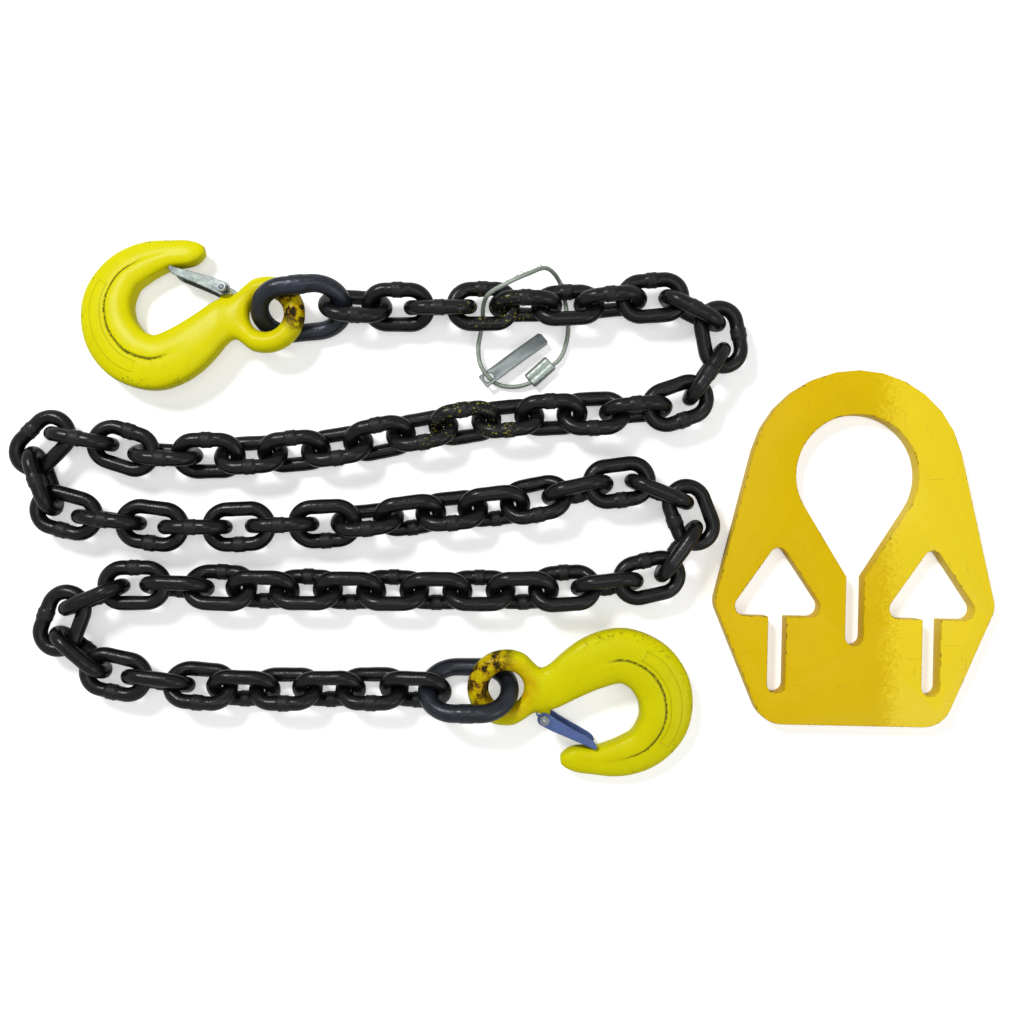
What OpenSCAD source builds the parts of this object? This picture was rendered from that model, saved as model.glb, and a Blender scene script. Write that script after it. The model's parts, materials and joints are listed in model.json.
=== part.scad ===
// Adjustable alloy chain sling laid out on a floor, in millimetres.
// The chain runs in five rows between two hooks, and a loose plate lies to its right.
// World frame: X to the right, Y away, Z up, the floor at Z = 0 and the middle of it all at X = Y = 0.
// Every chain link is one oval of round bar, so one module makes all of them.

/* [Chain] */
// Diameter of the chain's round bar
bar_d = 13; // [12.6:0.1:13.2]
// Length of the hole in a link, which is also the chain's pitch
pitch = 39; // [38.8:0.1:39.2]
// Width of the hole in a link
inner_w = 18; // [17.8:0.1:18.6]
// Play between two links in the straight rows
row_slack = 1.0; // [0.6:0.1:1.2]
// Play between two links in the bends and where the chain rolls over
bend_slack = 1.8; // [1.4:0.1:2.2]
// How far the weld stands out of the bar
weld_rise = 0.5; // [0:0.1:0.8]
// Length of the weld along the bar
weld_len = 8; // [5:0.5:10]

/* [Coupling links] */
// Bar diameter of the two larger links that hold the hooks
coupling_d = 16; // [15:0.5:16]
// Length of the hole in a coupling link
coupling_inner_l = 56.5; // [55:0.5:58]
// Width of the hole in a coupling link
coupling_inner_w = 34; // [32:0.5:36]
// Play between a coupling link and the chain
coupling_slack = 1.2; // [1.1:0.1:1.5]
// How far a coupling link leans over from lying flat, in degrees
coupling_roll = 45; // [43:1:47]

/* [Hooks] */
// Diameter of the hole in the hook's eye
eye_hole_d = 31; // [30.5:0.5:32]
// Thickness of the ring round the eye
eye_bar_d = 18.5; // [18:0.5:19]
// Half thickness of the hook's body where it is thickest
body_half_t = 13.5; // [12:0.5:14]
// How far the hook's bowl hangs below its eye, in degrees
hook_dip = 4; // [3:0.25:4]

/* [Latches] */
// Diameter of the latch pin
pin_d = 5; // [4:0.5:5.5]
// Gap between the pin and each hole it runs in, on the radius
pin_play = 0.08; // [0.03:0.01:0.1]
// Thickness of the latch's sheet metal
latch_t = 2; // [1.5:0.25:2.5]
// Distance between the latch's two side plates, inside
latch_gap = 18; // [17:0.5:18.5]
// Length of the latch from its pin to its tip
latch_len = 53; // [50:1:54]
// Wire diameter of the latch spring
spring_wire = 1.5; // [1.2:0.1:1.6]
// Width of the lock nut across its flats
nut_flats = 8; // [7:0.5:9]
// Height of the lock nut
nut_h = 4.5; // [4:0.5:5]

/* [Tag] */
// Diameter of the tag's wire rope
cable_d = 4; // [3.5:0.25:4]
// Length of the crimped sleeve on the wire rope
sleeve_len = 25; // [22:1:27]
// Width of the metal tag
tag_w = 14; // [13:0.5:15]
// Length of the metal tag
tag_len = 68; // [64:1:70]
// Thickness of the metal tag
tag_t = 1.5; // [1:0.25:2]
// Diameter of the hole in the tag
tag_hole_d = 9; // [8.5:0.25:9.5]

/* [Plate] */
// Thickness of the adjuster plate
plate_t = 18; // [15:0.5:20]
// Radius of the plate's round top
plate_top_r = 94; // [90:1:96]
// Radius of the round end of the large opening
tear_r = 54; // [50:1:56]
// Width of the three slots that grip a link
slot_w = 16; // [14.5:0.25:17]
// Distance of each keyhole from the plate's middle
keyhole_x = 68; // [66:0.5:70]

/* [Hidden] */
$fn = 96;
bend_r = (inner_w + bar_d) / 2;
half_span = (pitch + bar_d) / 2;
coupling_bend_r = (coupling_inner_w + coupling_d) / 2;
coupling_half_span = (coupling_inner_l + coupling_d) / 2;
eye_r = (eye_hole_d + eye_bar_d) / 2;
link_count = 69;
pair_count = 34;
// The chain's end links are lifted towards the coupling links
first_lift = 6.5;
last_lift = 7.5;
// Puts the middle of everything at X = Y = 0, with the chain's lowest weld on the floor
laid_at = [7.55, -3, 0.95];
// Angles at which the latch, the coupling links and the hooks lie
latch_angle = -20.5;
coupling_dip = 3;
first_coupling_head = 6;
hook_1_head = 180;
hook_2_head = -8;
hook_1_roll = 6;
hook_2_roll = 8;
// Middle line of the chain on the floor, read off the laid-out sling: [x, y]
way = [
    [-156, 181], [-100, 179], [-22, 180], [54, 181], [122, 187],
    [161, 186], [186, 160], [182, 124], [154, 96], [114, 88],
    [73, 87], [-4, 83], [-79, 72], [-156, 57], [-231, 50],
    [-301, 49], [-340, 53], [-376, 70], [-408, 71], [-425, 41],
    [-412, 7], [-374, -5], [-334, -9], [-295, -14], [-226, -12],
    [-145, -9], [-68, 0], [9, 8], [82, 25], [124, 27],
    [157, 8], [162, -28], [136, -55], [92, -63], [16, -69],
    [-100, -69], [-218, -68], [-332, -64], [-372, -70], [-399, -90],
    [-396, -120], [-359, -140], [-312, -148], [-237, -155], [-118, -155],
    [-40, -155]
];
// How far the chain has rolled over at some links: [link number, degrees]
// At 0, 90 and 180 the links lean over by turns, and half way between they lie flat and stand upright
roll_keys = [
    [1, 84], [6, 12], [8, 45], [12, 45], [15, 90], [22, 90], [25, 135],
    [34, 135], [37, 180], [39, 180], [42, 225], [46, 225], [49, 270],
    [55, 270], [58, 225], [62, 225], [65, 180], [69, 180]
];
// Eye centres of the two hooks
hook_1_at = [-214, 172, 26];
hook_2_at = [-5, -153, 26];

// Small helpers

function unit(v) = v / norm(v);

module laid() {
    translate(laid_at)
        children();
}

// A smooth curve through four points in a row, between the middle two
function spline(a, b, c, d, f) =
    (2 * b + (c - a) * f + (2 * a - 5 * b + 4 * c - d) * f * f
    + (3 * b - a - 3 * c + d) * f * f * f) / 2;

function way_at(k) = way[max(0, min(len(way) - 1, k))];

function path(t) =
    let (k = floor(t))
    spline(way_at(k - 1), way_at(k), way_at(k + 1), way_at(k + 2), t - k);

// Where each link lies

function roll(i) = lookup(i, roll_keys) + (i % 2 == 1 ? 45 : -45);

function in_bend(i) = (i > 0 && i < 15) || (i > 21 && i < 26) || (i > 33 && i < 49) || (i > 54 && i < 66);

function slack(i) = in_bend(i) ? bend_slack : row_slack;

// Height of a link's middle when it rests on the floor or on its neighbours
function height(i) =
    let (o = lookup(i, roll_keys) % 90)
    bend_r * sin(45 + min(o, 90 - o)) + bar_d / 2;

function joint_z(i) =
    height(i + 0.5) + (i == 0 ? first_lift : 0) + (i == link_count ? last_lift : 0);

// Halves the step until the next joint is one chord away from the last
function find(lo, hi, from, chord, n) =
    let (m = (lo + hi) / 2)
    n == 0 ? lo
    : norm(path(m) - from) < chord ? find(m, hi, from, chord, n - 1)
    : find(lo, m, from, chord, n - 1);

// The joints between links, one chord apart along the path
function walk(chords) = [
    for (i = 0, t = 0;
        i <= link_count;
        t = i < link_count ? find(t, t + 2, path(t), chords[i], 26) : t, i = i + 1)
    [path(t)[0], path(t)[1], joint_z(i)]
];

function headings(joints) = [for (i = [0 : link_count - 1]) unit(joints[i + 1] - joints[i])];

// Direction in which one bar crosses behind the other at each joint
// The chain turns about the bar of the link that stands more upright
function crossings(heads) = [
    for (i = [0 : link_count])
    i == 0 ? heads[0]
    : i == link_count ? heads[link_count - 1]
    : unit(heads[i - 1] * pow(cos(roll(i)), 2) + heads[i] * pow(sin(roll(i)), 2))
];

function chords_for(heads, cross_dirs) = [
    for (i = [0 : link_count - 1])
    pitch + bar_d
    - (bar_d + slack(i)) / 2 * (cross_dirs[i] * heads[i])
    - (bar_d + slack(i + 1)) / 2 * (cross_dirs[i + 1] * heads[i])
];

// Walks the chain again with the chord that each bend needs
function settle(chords, n) =
    n == 0 ? walk(chords)
    : let (heads = headings(walk(chords)))
    settle(chords_for(heads, crossings(heads)), n - 1);

joints = settle([for (i = [0 : link_count - 1]) pitch - (slack(i) + slack(i + 1)) / 2], 3);
cross_at = crossings(headings(joints));

// The middles of the two end bars of link i
function tail_bar(i) = joints[i - 1] - (bar_d + slack(i - 1)) / 2 * cross_at[i - 1];
function head_bar(i) = joints[i] + (bar_d + slack(i)) / 2 * cross_at[i];
function link_mid(i) = (tail_bar(i) + head_bar(i)) / 2;
function link_dir(i) = unit(head_bar(i) - tail_bar(i));

// Turns a heading into the angles that rotate() takes
function turn_to(v, r) = [r, -asin(v[2]), atan2(v[1], v[0])];

// The links of the chain

module weld(bar) {
    rise = weld_rise * bar / bar_d;
    rotate([0, 90, 0]) {
        cylinder(d = bar + 2 * rise, h = weld_len, center = true);
        for (s = [0, 180]) {
            rotate([s, 0, 0])
                translate([0, 0, weld_len / 2])
                    cylinder(d1 = bar + 2 * rise, d2 = bar, h = 2);
        }
    }
}

// A link lying flat: the hole is inner_l long in X and hole_w wide in Y
module oval_link(bar, inner_l, hole_w) {
    r = (hole_w + bar) / 2;
    leg = inner_l - hole_w;
    for (s = [-1, 1]) {
        translate([0, s * r, 0])
            rotate([0, 90, 0])
                cylinder(d = bar, h = leg, center = true);
        translate([s * leg / 2, 0, 0])
            rotate([0, 0, -90 * s])
                rotate_extrude(angle = 180)
                    translate([r, 0])
                        circle(d = bar);
    }
    translate([0, r, 0])
        weld(bar);
}

module chain_link(i) {
    translate(link_mid(i))
        rotate(turn_to(link_dir(i), roll(i)))
            oval_link(bar_d, pitch, inner_w);
}

module chain_pair(k) {
    chain_link(2 * k - 1);
    chain_link(2 * k);
}

module links_01_02() {
    color("#2b2c2e") laid() chain_pair(1);
}

module links_03_04() {
    color("#2b2c2e") laid() chain_pair(2);
}

module links_05_06() {
    color("#2b2c2e") laid() chain_pair(3);
}

module links_07_08() {
    color("#2b2c2e") laid() chain_pair(4);
}

module links_09_10() {
    color("#2b2c2e") laid() chain_pair(5);
}

module links_11_12() {
    color("#2b2c2e") laid() chain_pair(6);
}

module links_13_14() {
    color("#2b2c2e") laid() chain_pair(7);
}

module links_15_16() {
    color("#2b2c2e") laid() chain_pair(8);
}

module links_17_18() {
    color("#2b2c2e") laid() chain_pair(9);
}

module links_19_20() {
    color("#2b2c2e") laid() chain_pair(10);
}

module links_21_22() {
    color("#2b2c2e") laid() chain_pair(11);
}

module links_23_24() {
    color("#2b2c2e") laid() chain_pair(12);
}

module links_25_26() {
    color("#2b2c2e") laid() chain_pair(13);
}

module links_27_28() {
    color("#2b2c2e") laid() chain_pair(14);
}

module links_29_30() {
    color("#2b2c2e") laid() chain_pair(15);
}

module links_31_32() {
    color("#2b2c2e") laid() chain_pair(16);
}

module links_33_34() {
    color("#2b2c2e") laid() chain_pair(17);
}

module links_35_36() {
    color("#2b2c2e") laid() chain_pair(18);
}

module links_37_38() {
    color("#2b2c2e") laid() chain_pair(19);
}

module links_39_40() {
    color("#2b2c2e") laid() chain_pair(20);
}

module links_41_42() {
    color("#2b2c2e") laid() chain_pair(21);
}

module links_43_44() {
    color("#2b2c2e") laid() chain_pair(22);
}

module links_45_46() {
    color("#2b2c2e") laid() chain_pair(23);
}

module links_47_48() {
    color("#2b2c2e") laid() chain_pair(24);
}

module links_49_50() {
    color("#2b2c2e") laid() chain_pair(25);
}

module links_51_52() {
    color("#2b2c2e") laid() chain_pair(26);
}

module links_53_54() {
    color("#2b2c2e") laid() chain_pair(27);
}

module links_55_56() {
    color("#2b2c2e") laid() chain_pair(28);
}

module links_57_58() {
    color("#2b2c2e") laid() chain_pair(29);
}

module links_59_60() {
    color("#2b2c2e") laid() chain_pair(30);
}

module links_61_62() {
    color("#2b2c2e") laid() chain_pair(31);
}

module links_63_64() {
    color("#2b2c2e") laid() chain_pair(32);
}

module links_65_66() {
    color("#2b2c2e") laid() chain_pair(33);
}

module links_67_68() {
    color("#2b2c2e") laid() chain_pair(34);
}

module link_69() {
    color("#2b2c2e") laid() chain_link(69);
}

// The two coupling links

coupling_reach = (coupling_d + bar_d) / 2 + coupling_slack;
coupling_1_dir = [
    cos(first_coupling_head) * cos(coupling_dip),
    sin(first_coupling_head) * cos(coupling_dip),
    -sin(coupling_dip)
];
coupling_2_dir = [cos(coupling_dip), 0, sin(coupling_dip)];
coupling_1_mid = tail_bar(1) + link_dir(1) * coupling_reach - coupling_1_dir * coupling_half_span;
coupling_2_mid = head_bar(69) - link_dir(69) * coupling_reach + coupling_2_dir * coupling_half_span;

module coupling_link() {
    oval_link(coupling_d, coupling_inner_l, coupling_inner_w);
}

module coupling_link_1() {
    color("#4a4d55") laid()
        translate(coupling_1_mid)
            rotate(turn_to(coupling_1_dir, coupling_roll))
                coupling_link();
}

module coupling_link_2() {
    color("#4a4d55") laid()
        translate(coupling_2_mid)
            rotate(turn_to(coupling_2_dir, 180 - coupling_roll))
                coupling_link();
}

// The hooks, each drawn with its eye at the origin, its bowl along X and its tip towards -Y

pivot = [36, -21];
lug_half = 4;
ear_r = 6;
stack_half = latch_gap / 2 + latch_t + 0.3;
// Stations along the forged body: [x, y, half width, half thickness as a share of the thickest]
stations = [
    [21, 0, 13, 0.52], [29, 0.5, 17, 0.66], [37, 4.5, 18.5, 0.78], [51, 15.5, 19.7, 0.86],
    [70, 31, 23, 0.93], [87, 40, 24, 0.97], [101.5, 42, 24, 1], [120, 35.5, 24.6, 1],
    [132.5, 23.5, 24.7, 1], [139.8, 9.5, 24, 1], [142.3, -7.5, 22.9, 1], [138.8, -22.5, 21.5, 0.97],
    [129.5, -37, 19.2, 0.93], [115.5, -46.5, 17.7, 0.89], [101.5, -52, 15.5, 0.84],
    [86.5, -55, 12.5, 0.78], [71, -56, 11.4, 0.71], [62, -57.5, 8, 0.58], [57, -58.5, 4, 0.36]
];
body_steps = 2;
body_sides = 20;

function station_at(k) = stations[max(0, min(len(stations) - 1, k))];

function station(t) =
    let (k = floor(t))
    spline(station_at(k - 1), station_at(k), station_at(k + 1), station_at(k + 2), t - k);

function sway(t) =
    let (a = station(max(0, t - 0.05)), b = station(min(len(stations) - 1, t + 0.05)))
    unit([b[0] - a[0], b[1] - a[1]]);

function soft(x, p) = sign(x) * pow(abs(x), p);

// One ring of points round the body, a little thicker on the side of the throat
function body_ring(t) =
    let (s = station(t), dir = sway(t))
    [for (j = [0 : body_sides - 1])
        let (a = 360 * j / body_sides, u = s[2] * soft(cos(a), 0.85))
        [
            s[0] + dir[1] * u,
            s[1] - dir[0] * u,
            s[3] * body_half_t * soft(sin(a), 0.75) * (0.94 + 0.06 * cos(a))
        ]
    ];

module skin(rings) {
    n = len(rings[0]);
    last = len(rings) - 1;
    polyhedron(
        points = [for (r = rings) each r],
        faces = [
            [for (j = [n - 1 : -1 : 0]) j],
            [for (j = [0 : n - 1]) last * n + j],
            for (i = [0 : last - 1], j = [0 : n - 1])
                let (a = i * n + j, b = i * n + (j + 1) % n)
                each [[a, b, a + n], [b, b + n, a + n]]
        ]
    );
}

module hook_body() {
    skin([for (k = [0 : body_steps * (len(stations) - 1)]) body_ring(k / body_steps)]);
}

module hook() {
    difference() {
        union() {
            rotate_extrude()
                translate([eye_r, 0])
                    circle(d = eye_bar_d);
            hook_body();
            translate([pivot[0], pivot[1], -lug_half])
                cylinder(r = ear_r - 0.5, h = 2 * lug_half);
            translate([pivot[0] - ear_r + 0.5, pivot[1], -lug_half])
                cube([2 * ear_r - 1, 16, 2 * lug_half]);
        }
        translate([pivot[0], pivot[1], -lug_half - 1])
            cylinder(d = pin_d + 2 * pin_play, h = 2 * lug_half + 2);
    }
}

// The latch is a bent channel that straddles the lug and shuts against the inside of the tip
module latch() {
    translate([pivot[0], pivot[1], 0])
        rotate([0, 0, latch_angle])
            difference() {
                union() {
                    for (s = [-1, 1]) {
                        translate([0, 0, s * (latch_gap + latch_t) / 2])
                            linear_extrude(height = latch_t, center = true)
                                union() {
                                    circle(r = ear_r);
                                    polygon([
                                        [0, -ear_r], [12, -ear_r], [latch_len - 6, -3.2],
                                        [latch_len, -3.2], [latch_len, 0.5], [latch_len - 8, 4],
                                        [14, 5], [0, ear_r]
                                    ]);
                                }
                    }
                    linear_extrude(height = latch_gap + 2 * latch_t, center = true)
                        polygon([
                            [12, -ear_r], [latch_len - 6, -3.2], [latch_len, -3.2],
                            [latch_len, latch_t - 3.2], [latch_len - 6, latch_t - 3.2],
                            [12, latch_t - ear_r]
                        ]);
                }
                cylinder(d = pin_d + 2 * pin_play, h = 40, center = true);
            }
}

module latch_pin() {
    translate([pivot[0], pivot[1], 0]) {
        translate([0, 0, -stack_half])
            cylinder(d = pin_d, h = 2 * stack_half + nut_h + 1);
        translate([0, 0, -stack_half - 2.5])
            cylinder(d = pin_d + 4, h = 2.5);
    }
}

module latch_nut() {
    translate([pivot[0], pivot[1], stack_half])
        difference() {
            union() {
                cylinder(d = nut_flats / cos(30), h = nut_h - 1, $fn = 6);
                cylinder(d = nut_flats - 0.6, h = nut_h);
            }
            translate([0, 0, -1])
                cylinder(d = pin_d + 0.1, h = nut_h + 2);
        }
}

// Three turns of wire round the pin, between the lug and one side of the latch
module latch_spring() {
    coil_r = pin_d / 2 + spring_wire / 2 + 0.6;
    translate([pivot[0], pivot[1], lug_half + spring_wire / 2 + 0.3]) {
        for (k = [0 : 2]) {
            translate([0, 0, k * (spring_wire - 0.15)])
                rotate_extrude()
                    translate([coil_r, 0])
                        circle(d = spring_wire);
        }
        translate([0, coil_r, 2 * (spring_wire - 0.15)])
            rotate([0, -90, 0])
                cylinder(d = spring_wire, h = 7);
    }
}

module at_hook_1() {
    translate(hook_1_at)
        rotate([hook_1_roll, hook_dip, hook_1_head])
            children();
}

module at_hook_2() {
    translate(hook_2_at)
        rotate([hook_2_roll, hook_dip, hook_2_head])
            children();
}

module hook_1() {
    color("#d8d51c") laid() at_hook_1() hook();
}

module latch_1() {
    color("#8d97a8") laid() at_hook_1() latch();
}

module latch_pin_1() {
    color("#9a9fa6") laid() at_hook_1() latch_pin();
}

module latch_nut_1() {
    color("#7d8287") laid() at_hook_1() latch_nut();
}

module latch_spring_1() {
    color("#b5b8bc") laid() at_hook_1() latch_spring();
}

module hook_2() {
    color("#d8d51c") laid() at_hook_2() hook();
}

module latch_2() {
    color("#8d97a8") laid() at_hook_2() latch();
}

module latch_pin_2() {
    color("#9a9fa6") laid() at_hook_2() latch_pin();
}

module latch_nut_2() {
    color("#7d8287") laid() at_hook_2() latch_nut();
}

module latch_spring_2() {
    color("#b5b8bc") laid() at_hook_2() latch_spring();
}

// The tag on its loop of wire rope

// The loop runs round through link 4, over link 5 and under link 6: [x, y, z]
cable_way = [
    [32, 127, 5], [44, 139, 3.8], [50, 160, 3], [48, 184, 2.6], [42, 206, 3.4], [30, 213, 24],
    [14, 204, 44], [-4, 195, 49], [-20, 187, 41], [-25, 180, 24], [-26, 171, 9], [-28, 159, 5],
    [-30, 146, 5], [-28, 131, 10.5], [-20.5, 119.5, 6.6], [-10, 113, 3], [5, 112, 3.2], [20, 117, 4.5]
];
cable_mid = [10, 160];
cable_steps = 4;
cable_sides = 10;

function cable_at(t) =
    let (n = len(cable_way), k = floor(t))
    spline(
        cable_way[(k + n - 1) % n], cable_way[k % n], cable_way[(k + 1) % n],
        cable_way[(k + 2) % n], t - k
    );

// Rings round the rope, squared up against the direction away from the loop's middle
function cable_ring(t) =
    let (
        c = cable_at(t),
        dir = unit(cable_at(t + 0.02) - cable_at(t)),
        out = unit([c[0] - cable_mid[0], c[1] - cable_mid[1], 0]),
        side = unit(cross(dir, out)),
        away = cross(side, dir)
    )
    [for (j = [0 : cable_sides - 1])
        let (a = 360 * j / cable_sides)
        c + cable_d / 2 * (cos(a) * away + sin(a) * side)
    ];

module tag_cable() {
    n = len(cable_way) * cable_steps;
    s = cable_sides;
    rings = [for (i = [0 : n - 1]) cable_ring(i / cable_steps)];
    color("#b9bcb4") laid()
        polyhedron(
            points = [for (r = rings) each r],
            faces = [
                for (i = [0 : n - 1], j = [0 : s - 1])
                    let (
                        a = i * s + j,
                        b = i * s + (j + 1) % s,
                        c = (i + 1) % n * s + j,
                        d = (i + 1) % n * s + (j + 1) % s
                    )
                    each [[a, c, b], [b, c, d]]
            ]
        );
}

// A double crimp: the rope runs through one barrel, and its end turns back into the other
sleeve_mid = [27, 122.5, 4.9];
sleeve_dir = unit(cable_at(0.25) - cable_at(17.4));
module tag_sleeve() {
    barrel_r = cable_d / 2 + 2.4;
    color("#8f9396") laid()
        translate(sleeve_mid)
            rotate(turn_to(sleeve_dir, 0))
                for (s = [0, 1]) {
                    translate([0, s * (barrel_r + 1.5), 0])
                        rotate([0, 90, 0])
                            cylinder(r = barrel_r, h = sleeve_len, center = true);
                }
}

tag_at = [-20.5, 119.5, 6.6];
tag_head = 36;
tag_dip = 2;
tag_roll = -25;
module tag_plate() {
    color("#a9adb2") laid()
        translate(tag_at)
            rotate([tag_roll, tag_dip, tag_head])
                difference() {
                    translate([-tag_w / 2, -tag_w / 2, -tag_t / 2])
                        cube([tag_len, tag_w, tag_t]);
                    cylinder(d = tag_hole_d, h = tag_t + 2, center = true);
                }
}

// The adjuster plate

plate_at = [310.55, -36, 0];
plate_turn = -1.2;

// Direction square to the side that joins two round corners: corners are [x, y, r], listed clockwise
function side_turn(a, b) =
    let (v = [b[0] - a[0], b[1] - a[1]])
    atan2(v[1], v[0]) + acos((a[2] - b[2]) / norm(v));

// A flat shape with a round corner at every place of a convex ring, listed clockwise
module round_shape(c) {
    n = len(c);
    steps = 12;
    polygon([
        for (i = [0 : n - 1])
            let (
                from = side_turn(c[(i + n - 1) % n], c[i]),
                to = side_turn(c[i], c[(i + 1) % n]),
                sweep = (from - to + 720) % 360
            )
            for (k = [0 : steps])
                let (a = from - sweep * k / steps)
                [c[i][0] + c[i][2] * cos(a), c[i][1] + c[i][2] * sin(a)]
    ]);
}

// A through hole with straight sides and a round lower end, its end centred at end_y
module slot(x, top_y, end_y) {
    translate([x - slot_w / 2, end_y, -1])
        cube([slot_w, top_y - end_y, plate_t + 2]);
    translate([x, end_y, -1])
        cylinder(d = slot_w, h = plate_t + 2);
}

// An opening shaped like an arrow head on its shaft
module keyhole(x) {
    translate([x, 0, -1])
        linear_extrude(height = plate_t + 2)
            round_shape([[0, -8, 8], [28.5, -51.5, 9], [-28.5, -51.5, 9]]);
    slot(x, -50, -120);
}

// The large opening: a round end that narrows to the middle slot
module teardrop() {
    translate([0, 65, -1])
        cylinder(r = tear_r, h = plate_t + 2);
    translate([0, 0, -1])
        linear_extrude(height = plate_t + 2)
            round_shape([[0, 65, tear_r - 0.02], [0, -22, slot_w / 2]]);
    slot(0, -20, -77);
}

module adjuster_plate() {
    color("#eccb0e")
        translate(plate_at)
            rotate([0, 0, plate_turn])
                difference() {
                    linear_extrude(height = plate_t)
                        round_shape([
                            [0, 64, plate_top_r], [103, -48, 20], [62, -129.5, 26],
                            [-62, -129.5, 26], [-103, -48, 20]
                        ]);
                    teardrop();
                    for (s = [-1, 1]) {
                        keyhole(s * keyhole_x);
                    }
                }
}

// Everything in its place

links_01_02();
links_03_04();
links_05_06();
links_07_08();
links_09_10();
links_11_12();
links_13_14();
links_15_16();
links_17_18();
links_19_20();
links_21_22();
links_23_24();
links_25_26();
links_27_28();
links_29_30();
links_31_32();
links_33_34();
links_35_36();
links_37_38();
links_39_40();
links_41_42();
links_43_44();
links_45_46();
links_47_48();
links_49_50();
links_51_52();
links_53_54();
links_55_56();
links_57_58();
links_59_60();
links_61_62();
links_63_64();
links_65_66();
links_67_68();
link_69();
coupling_link_1();
coupling_link_2();
hook_1();
latch_1();
latch_pin_1();
latch_nut_1();
latch_spring_1();
hook_2();
latch_2();
latch_pin_2();
latch_nut_2();
latch_spring_2();
tag_cable();
tag_sleeve();
tag_plate();
adjuster_plate();
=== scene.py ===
# %% [markdown]
# # A chain sling on a pale floor
# The real object is a length of black alloy chain with a yellow hook at each end, laid out in rows,
# with a thick yellow plate beside it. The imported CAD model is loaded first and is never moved.
# All that shows is built again here as finer surfaces, and each stands for its CAD nodes.

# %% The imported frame
import json
import math

import bmesh
import bpy
import numpy as np
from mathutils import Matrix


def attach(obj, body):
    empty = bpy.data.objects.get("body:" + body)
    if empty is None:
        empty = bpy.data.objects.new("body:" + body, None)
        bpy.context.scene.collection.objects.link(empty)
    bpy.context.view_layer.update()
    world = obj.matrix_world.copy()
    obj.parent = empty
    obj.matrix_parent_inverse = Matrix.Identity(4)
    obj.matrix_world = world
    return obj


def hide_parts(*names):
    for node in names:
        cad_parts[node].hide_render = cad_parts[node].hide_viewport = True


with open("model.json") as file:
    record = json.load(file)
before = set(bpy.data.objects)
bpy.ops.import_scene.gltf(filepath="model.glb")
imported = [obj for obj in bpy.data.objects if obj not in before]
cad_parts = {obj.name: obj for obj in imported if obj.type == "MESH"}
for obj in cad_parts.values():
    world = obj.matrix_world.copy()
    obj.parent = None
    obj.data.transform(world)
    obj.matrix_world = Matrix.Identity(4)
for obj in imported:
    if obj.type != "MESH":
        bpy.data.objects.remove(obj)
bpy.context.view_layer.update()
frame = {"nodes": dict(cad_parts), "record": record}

# %% [markdown]
# The photograph looks straight down from about a metre up. A pinhole camera is given by its lens:
# a point X metres off the axis and D metres below the camera lands X / D * lens / sensor of the
# picture's width away from the middle. LAID is where the laid-out CAD model was moved to, in
# millimetres, so that its box stands in the middle of the floor.

# %% The camera
MM = 0.001
LAID = np.array([7.55, -3.0, 0.95])
PICTURE, PIXELS_PER_RADIAN = 1024, 1116
SENSOR, CAMERA_HEIGHT = 36, 1.0
lens = bpy.data.cameras.new("camera")
lens.sensor_width = SENSOR
lens.lens = SENSOR * PIXELS_PER_RADIAN / PICTURE
lens.dof.use_dof = False
camera = bpy.data.objects.new("camera", lens)
camera.location = (LAID[0] * MM, LAID[1] * MM, CAMERA_HEIGHT)
bpy.context.collection.objects.link(camera)
bpy.context.scene.camera = camera
print(f"lens {lens.lens:.2f} mm, {CAMERA_HEIGHT} m above the floor, looking straight down")

# %% [markdown]
# Every new surface is a grid of points worked out with numpy. One helper joins the grid's rows and
# columns with four-sided faces, wraps it round where it closes on itself, and caps open ends.

# %% From a grid of points to a mesh
def grid_faces(rows, cols, wrap_rows, wrap_cols, first=0):
    """Face i, j joins the points (i, j), (i, j+1), (i+1, j+1) and (i+1, j)."""
    i, j = np.meshgrid(
        np.arange(rows if wrap_rows else rows - 1),
        np.arange(cols if wrap_cols else cols - 1),
        indexing="ij",
    )
    i2, j2 = (i + 1) % rows, (j + 1) % cols
    quads = np.stack([i * cols + j, i * cols + j2, i2 * cols + j2, i2 * cols + j], axis=-1)
    return quads.reshape(-1, 4) + first


def shade(mesh, smooth):
    mesh.polygons.foreach_set("use_smooth", np.full(len(mesh.polygons), smooth))


def mesh_of(name, grids, smooth=True):
    """One mesh from several grids, each (points, wrap_rows, wrap_cols, capped), in metres."""
    points, faces, count = [], [], 0
    for grid, wrap_rows, wrap_cols, capped in grids:
        rows, cols = grid.shape[:2]
        points.append(grid.reshape(-1, 3))
        faces += grid_faces(rows, cols, wrap_rows, wrap_cols, count).tolist()
        if capped:
            faces.append((np.arange(cols)[::-1] + count).tolist())
            faces.append((np.arange(cols) + count + (rows - 1) * cols).tolist())
        count += rows * cols
    mesh = bpy.data.meshes.new(name)
    mesh.from_pydata(np.concatenate(points).tolist(), [], faces)
    shell = bmesh.new()
    shell.from_mesh(mesh)
    bmesh.ops.recalc_face_normals(shell, faces=shell.faces)
    shell.to_mesh(mesh)
    shell.free()
    shade(mesh, smooth)
    return mesh


def add_piece(name, mesh, body, nodes=(), material=None):
    """Puts a finished mesh at the origin, on a CAD body, instead of the nodes it stands for."""
    piece = bpy.data.objects.new(name, mesh)
    bpy.context.collection.objects.link(piece)
    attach(piece, body)
    if nodes:
        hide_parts(*nodes)
    if material:
        mesh.materials.clear()
        mesh.materials.append(material)
    return piece


def set_attribute(mesh, name, values):
    """Gives each vertex one number that a material can read."""
    layer = mesh.attributes.new(name, "FLOAT", "POINT")
    layer.data.foreach_set("value", np.asarray(values, np.float32))


def vertices_of(mesh):
    points = np.empty(len(mesh.vertices) * 3)
    mesh.vertices.foreach_get("co", points)
    return points.reshape(-1, 3)


print("mesh helpers ready")

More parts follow.
